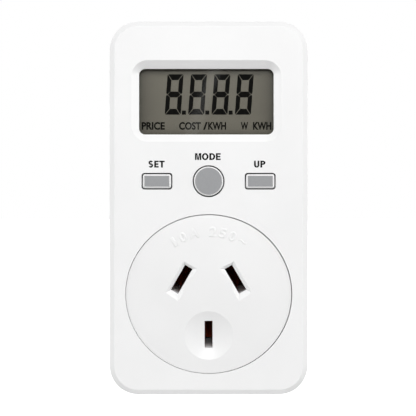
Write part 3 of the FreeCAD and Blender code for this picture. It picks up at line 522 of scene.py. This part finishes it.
def letter_m(w):
    foot = 0.85 * STEM
    return [[(0, 0), (foot, 0), (foot, LETTER_H - 0.35), (w / 2 - foot / 2, 0), (w / 2 + foot / 2, 0),
             (w - foot, LETTER_H - 0.35), (w - foot, 0), (w, 0), (w, LETTER_H), (w - 1.5 * foot, LETTER_H),
             (w / 2, 0.48), (1.5 * foot, LETTER_H), (0, LETTER_H)]]


def letter_o(w):
    middle, half = w / 2, LETTER_H / 2
    return [arc(middle, half, middle, half + 0.03, 0, 345, 23),
            arc(middle, half, middle - STEM, half - BAR + 0.03, 0, 345, 23)]


def letter_d(w):
    half = LETTER_H / 2
    flat = 0.45 * w
    return [[(0, 0)] + arc(flat, half, w - flat, half, -90, 90) + [(0, LETTER_H)],
            [(STEM, BAR)] + arc(flat, half, w - flat - STEM, half - BAR, -90, 90) + [(STEM, LETTER_H - BAR)]]


def letter_p(w):
    bowl = 0.30 * LETTER_H
    flat = 0.52 * w
    return [[(0, 0), (STEM, 0), (STEM, LETTER_H - 2 * bowl)]
            + arc(flat, LETTER_H - bowl, w - flat, bowl, -90, 90) + [(0, LETTER_H)],
            [(STEM, LETTER_H - 2 * bowl + BAR)]
            + arc(flat, LETTER_H - bowl, w - flat - STEM, bowl - BAR, -90, 90) + [(STEM, LETTER_H - BAR)]]


def letter_u(w):
    middle, round_z = w / 2, 0.62
    return [[(0, LETTER_H)] + arc(middle, round_z, middle, round_z + 0.03, 180, 360)
            + [(w, LETTER_H), (w - STEM, LETTER_H)]
            + arc(middle, round_z, middle - STEM, round_z - BAR + 0.03, 360, 180) + [(STEM, LETTER_H)]]


def letter_s(w):
    across = (w - STEM) / 2
    up = (LETTER_H - BAR + 0.04) / 4
    upper = arc(w / 2, LETTER_H / 2 + up, across, up, 28, 270)
    lower = arc(w / 2, LETTER_H / 2 - up, across, up, 90, -152)
    return [stroke(upper + lower[1:], 0.5 * (STEM + BAR))]


def legend(name, letters, left, foot_z):
    """A printed word. Each letter has its outlines and the distance to the next one's left."""
    drawing = bpy.data.curves.new(name, "CURVE")
    drawing.dimensions = "2D"
    drawing.fill_mode = "BOTH"
    drawing.extrude = PRINT_T / 2
    start = left
    for outlines, advance in letters:
        for outline in outlines:
            spline = drawing.splines.new("POLY")
            spline.points.add(len(outline) - 1)
            for point, (x, z) in zip(spline.points, outline):
                point.co = ((start + x) * MM, (foot_z + z) * MM, 0, 1)
            spline.use_cyclic_u = True
        start += advance
    print_shape = bpy.data.objects.new(name, drawing)
    bpy.context.scene.collection.objects.link(print_shape)
    deselect()
    print_shape.select_set(True)
    bpy.context.view_layer.objects.active = print_shape
    bpy.ops.object.convert(target="MESH")
    word = bpy.context.object
    upright = Matrix.Rotation(math.radians(90), 4, "X")
    word.data.transform(Matrix.Translation((0, PRINT_Y, 0)) @ upright)
    word.data.materials.append(printing_ink)
    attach(word, "case")
    return word


printing_ink = moulded_plastic("black_pad_printing_ink", "#060606", "#0D0D0E", 0.75, 0.12, 0.002, flow_mm=3.0,
                               mirroring=0.2)
legend("set_legend", [(letter_s(1.23), 1.50), (letter_e(1.14), 1.28), (letter_t(1.40), 0)], -15.5, 32.63)
legend("mode_legend", [(letter_m(1.62), 1.78), (letter_o(1.70), 1.92), (letter_d(1.50), 1.68),
                       (letter_e(1.22), 0)], -3.5, 34.56)
legend("up_legend", [(letter_u(1.38), 1.64), (letter_p(1.30), 0)], 11.7, 32.63)

# ---- Keys ----
# Three grey caps that stand just proud of the case. The bright chamfer round each one is a
# painted highlight: faces that turn away from straight ahead take a pale colour.
key_finish_with_painted_highlight = new_material("grey_abs_key_painted_highlight")
key_place = object_place(key_finish_with_painted_highlight)
key_normal = add_node(key_finish_with_painted_highlight, "ShaderNodeNewGeometry")
key_facing = add_node(key_finish_with_painted_highlight, "ShaderNodeSeparateXYZ", Vector=key_normal.outputs["Normal"])
# painted highlight mask: 0 on the flat face, rising to 1 on the chamfer as it turns away from the front
chamfer_highlight_mask = add_node(key_finish_with_painted_highlight, "ShaderNodeMapRange", Value=key_facing.outputs["Y"], From_Min=-0.95,
                    From_Max=-0.80)
key_speck = add_node(key_finish_with_painted_highlight, "ShaderNodeTexNoise", Vector=key_place, Scale=1 / (0.35 * MM), Detail=3.0)
key_tone = add_node(key_finish_with_painted_highlight, "ShaderNodeValToRGB", Fac=key_speck.outputs["Fac"])
key_tone.color_ramp.elements[0].color = linear("#919294")
key_tone.color_ramp.elements[1].color = linear("#9B9C9E")
key_colour_with_painted_highlight = add_node(key_finish_with_painted_highlight, "ShaderNodeMix", {"data_type": "RGBA"})
key_finish_with_painted_highlight.node_tree.links.new(chamfer_highlight_mask.outputs["Result"], key_colour_with_painted_highlight.inputs["Factor"])
key_finish_with_painted_highlight.node_tree.links.new(key_tone.outputs["Color"], key_colour_with_painted_highlight.inputs[6])
# the pale colour painted on the chamfer as a highlight
key_colour_with_painted_highlight.inputs[7].default_value = linear("#E6E6E6")
key_skin = add_node(key_finish_with_painted_highlight, "ShaderNodeBump", Height=key_speck.outputs["Fac"], Distance=0.004 * MM)
key_surface = add_node(key_finish_with_painted_highlight, "ShaderNodeBsdfPrincipled", Base_Color=key_colour_with_painted_highlight.outputs[2],
                       Roughness=0.38, Normal=key_skin.outputs["Normal"])
add_node(key_finish_with_painted_highlight, "ShaderNodeOutputMaterial", Surface=key_surface.outputs["BSDF"])
put_on(key_finish_with_painted_highlight, "set_keycap", "mode_keycap", "up_keycap")


# ---- Contacts ----
# Sprung contacts and the earth strap are stamped from phosphor bronze. Their colour turns
# darker further in, behind the throat.
def rolled_metal(name, shade, light, roughness, streak_mm=0.15, inner_darkening=None):
    """A metal with the fine straight marks of rolling or drawing, all one way.

    The last argument, if given, holds the front and rear Y, in metres, between which the colour darkens to a
    given colour.
    """
    material = new_material(name)
    stretched = add_node(
        material, "ShaderNodeMapping", Vector=object_place(material),
        Scale=(1 / (streak_mm * MM), 1 / (12 * streak_mm * MM), 1 / (streak_mm * MM)),
    )
    streaks = add_node(material, "ShaderNodeTexNoise", Vector=stretched.outputs[0], Scale=1.0, Detail=3.0)
    tone = add_node(material, "ShaderNodeValToRGB", Fac=streaks.outputs["Fac"])
    tone.color_ramp.elements[0].position = 0.3
    tone.color_ramp.elements[0].color = linear(shade)
    tone.color_ramp.elements[1].position = 0.7
    tone.color_ramp.elements[1].color = linear(light)
    gloss = add_node(material, "ShaderNodeMapRange", Value=streaks.outputs["Fac"], To_Min=roughness - 0.06,
                     To_Max=roughness + 0.08)
    marks = add_node(material, "ShaderNodeBump", Height=streaks.outputs["Fac"], Distance=0.0015 * MM)
    colour = tone.outputs["Color"]
    if inner_darkening:
        # the colour darkens between front_y and rear_y, further into the slot
        front_y, rear_y, dark = inner_darkening
        depth = add_node(material, "ShaderNodeSeparateXYZ", Vector=object_place(material)).outputs["Y"]
        film = add_node(material, "ShaderNodeMapRange", Value=depth, From_Min=front_y, From_Max=rear_y)
        inner_darkened = add_node(material, "ShaderNodeMix", {"data_type": "RGBA"})
        material.node_tree.links.new(film.outputs["Result"], inner_darkened.inputs["Factor"])
        material.node_tree.links.new(colour, inner_darkened.inputs[6])
        inner_darkened.inputs[7].default_value = linear(dark)
        colour = inner_darkened.outputs[2]
    surface = add_node(
        material, "ShaderNodeBsdfPrincipled", Base_Color=colour, Metallic=1.0,
        Roughness=gloss.outputs["Result"], Normal=marks.outputs["Normal"],
    )
    add_node(material, "ShaderNodeOutputMaterial", Surface=surface.outputs["BSDF"])
    return material


phosphor_bronze = rolled_metal("phosphor_bronze_strip", "#A04A2C", "#C0683F", 0.38,
                               inner_darkening=(-30.0 * MM, -25.0 * MM, "#7A3018"))
put_on(phosphor_bronze, "live_contact", "neutral_contact", "earth_contact", "earth_strap")

# ---- Contact carrier and clamp ----
# Dark thermoplastic polyester holds the hot metal. It is glass filled, so its skin is dull
# and faintly cloudy.
dark_pbt = moulded_plastic("glass_filled_pbt", "#191A1B", "#26282A", 0.55, 0.25, 0.008, flow_mm=4.0)
put_on(dark_pbt, "contact_carrier", "pin_clamp")

# ---- Plug pins ----
# Flat pins stamped from brass strip, drawn bright along their length. The two that carry
# current have black insulating sleeves moulded on next to the case.
brass = rolled_metal("drawn_brass", "#C9A766", "#DCC084", 0.24, streak_mm=0.2)
put_on(brass, "live_pin", "neutral_pin", "earth_pin")
sleeve_nylon = moulded_plastic("black_nylon_sleeve", "#161617", "#202022", 0.42, 0.2, 0.004, flow_mm=3.0)
put_on(sleeve_nylon, "live_pin_sleeve", "neutral_pin_sleeve")

# ---- Rating label ----
# A self-adhesive film, silvered and brushed across, and left blank.
silver_film = new_material("brushed_silver_film")
film_place = object_place(silver_film)
film_grain = add_node(silver_film, "ShaderNodeMapping", Vector=film_place,
                      Scale=(1 / (6 * MM), 1 / (1 * MM), 1 / (0.15 * MM)))
film_lines = add_node(silver_film, "ShaderNodeTexNoise", Vector=film_grain.outputs[0], Scale=1.0, Detail=4.0)
silver_tone = add_node(silver_film, "ShaderNodeValToRGB", Fac=film_lines.outputs["Fac"])
silver_tone.color_ramp.elements[0].color = linear("#B4B6B8")
silver_tone.color_ramp.elements[1].color = linear("#DDDFE0")
silver_gloss = add_node(silver_film, "ShaderNodeMapRange", Value=film_lines.outputs["Fac"],
                        To_Min=0.30, To_Max=0.48)
silver_surface = add_node(silver_film, "ShaderNodeBsdfPrincipled", Base_Color=silver_tone.outputs["Color"],
                          Metallic=0.75, Roughness=silver_gloss.outputs["Result"])
add_node(silver_film, "ShaderNodeOutputMaterial", Surface=silver_surface.outputs["BSDF"])
put_on(silver_film, "rating_label")

# ---- Screws ----
# Zinc plated steel, with the slightly blue cast of clear passivation.
zinc = rolled_metal("zinc_plated_steel", "#A7ABB0", "#C6CACE", 0.32)
put_on(zinc, "case_screws", "display_board_screws", "power_board_screws", "carrier_screws", "clamp_screws")


# ---- Boards ----
# Glass-filled epoxy under green lacquer. The copper tracks below show as paler bands.
def circuit_board(name, base, tracks):
    material = new_material(name)
    place = object_place(material)
    laid_flat = add_node(material, "ShaderNodeMapping", Vector=place, Rotation=(math.radians(90), 0, 0))
    cells = add_node(material, "ShaderNodeTexBrick", {"offset": 0.5}, Vector=laid_flat.outputs[0],
                     Color1=linear(base), Color2=linear(base), Mortar=linear(tracks),
                     Scale=1 / (5 * MM), Mortar_Size=0.06)
    weave = add_node(material, "ShaderNodeTexNoise", Vector=place, Scale=1 / (0.3 * MM), Detail=2.0)
    skin = add_node(material, "ShaderNodeBump", Height=weave.outputs["Fac"], Distance=0.004 * MM)
    surface = add_node(material, "ShaderNodeBsdfPrincipled", Base_Color=cells.outputs["Color"],
                       Roughness=0.32, Normal=skin.outputs["Normal"], Coat_Weight=0.4)
    add_node(material, "ShaderNodeOutputMaterial", Surface=surface.outputs["BSDF"])
    return material


put_on(circuit_board("green_lacquered_board", "#1E5A36", "#3B7C50"), "display_board", "power_board")

# ---- What sits on the boards ----
# Each component has the finish of its own kind: moulded epoxy chips, a drawn can, lacquered
# ceramic, a boxed film capacitor, shrunk sleeves, and plated tags.
epoxy = moulded_plastic("moulded_epoxy", "#1B1B1C", "#252526", 0.60, 0.2, 0.006, flow_mm=3.0)
put_on(epoxy, "microcontroller", "metering_chip", "bridge_rectifier")
put_on(rolled_metal("nickel_plated_can", "#B9B6AF", "#D0CDC6", 0.22), "clock_crystal", "battery_tags")
put_on(rolled_metal("resistance_alloy", "#8E8780", "#A59E96", 0.35), "shunt")
put_on(moulded_plastic("yellow_polyester_box", "#D8B62A", "#E2C23A", 0.35, 0.3, 0.004), "x2_capacitor")
put_on(moulded_plastic("black_shrink_sleeve", "#17181B", "#212226", 0.30, 0.5, 0.003), "smoothing_capacitors")
put_on(moulded_plastic("blue_epoxy_coating", "#1F4F93", "#2B60A8", 0.28, 0.8, 0.010, coat=0.3), "varistor")
put_on(moulded_plastic("cream_lacquer", "#D9CCA6", "#E3D8B6", 0.40, 0.4, 0.005), "fuse_resistor")
put_on(rolled_metal("battery_steel", "#AEB1B3", "#C8CBCD", 0.25), "backup_battery")
put_on(moulded_plastic("grey_pvc_ribbon", "#8B8D90", "#9A9C9F", 0.45, 0.6, 0.004), "board_ribbon")
put_on(moulded_plastic("black_abs_frame", "#1A1A1B", "#242425", 0.50, 0.3, 0.005), "lcd_frame")
zebra = new_material("zebra_rubber")
zebra_bands = add_node(zebra, "ShaderNodeTexWave", Vector=object_place(zebra), Scale=1 / (1.2 * MM))
zebra_tone = add_node(zebra, "ShaderNodeValToRGB", Fac=zebra_bands.outputs["Fac"])
zebra_tone.color_ramp.elements[0].color = linear("#2B2B2D")
zebra_tone.color_ramp.elements[1].color = linear("#C9A0A4")
zebra_surface = add_node(zebra, "ShaderNodeBsdfPrincipled", Base_Color=zebra_tone.outputs["Color"],
                         Roughness=0.7)
add_node(zebra, "ShaderNodeOutputMaterial", Surface=zebra_surface.outputs["BSDF"])
put_on(zebra, "zebra_strips")

# ---- Switches ----
# Three small push switches: a nylon body under a bent steel cover, and a plunger.
nylon = moulded_plastic("black_nylon", "#1B1B1B", "#262627", 0.48, 0.2, 0.005, flow_mm=3.0)
for key in ("set", "mode", "up"):
    put_on(nylon, f"{key}_switch_base", f"{key}_switch_plunger")
put_on(rolled_metal("stamped_steel_cover", "#B5B8BA", "#CDD0D2", 0.28), "switch_covers")

# ---- Wiring ----
# Stranded copper in soft PVC, brown for live and blue for neutral.
brown_pvc = moulded_plastic("brown_pvc", "#5A3220", "#683C28", 0.38, 0.6, 0.004, flow_mm=5.0)
blue_pvc = moulded_plastic("blue_pvc", "#24549E", "#2D62B0", 0.38, 0.6, 0.004, flow_mm=5.0)
put_on(brown_pvc, "live_feed_wire", "live_load_wire")
put_on(blue_pvc, "neutral_wire", "neutral_sense_wire")
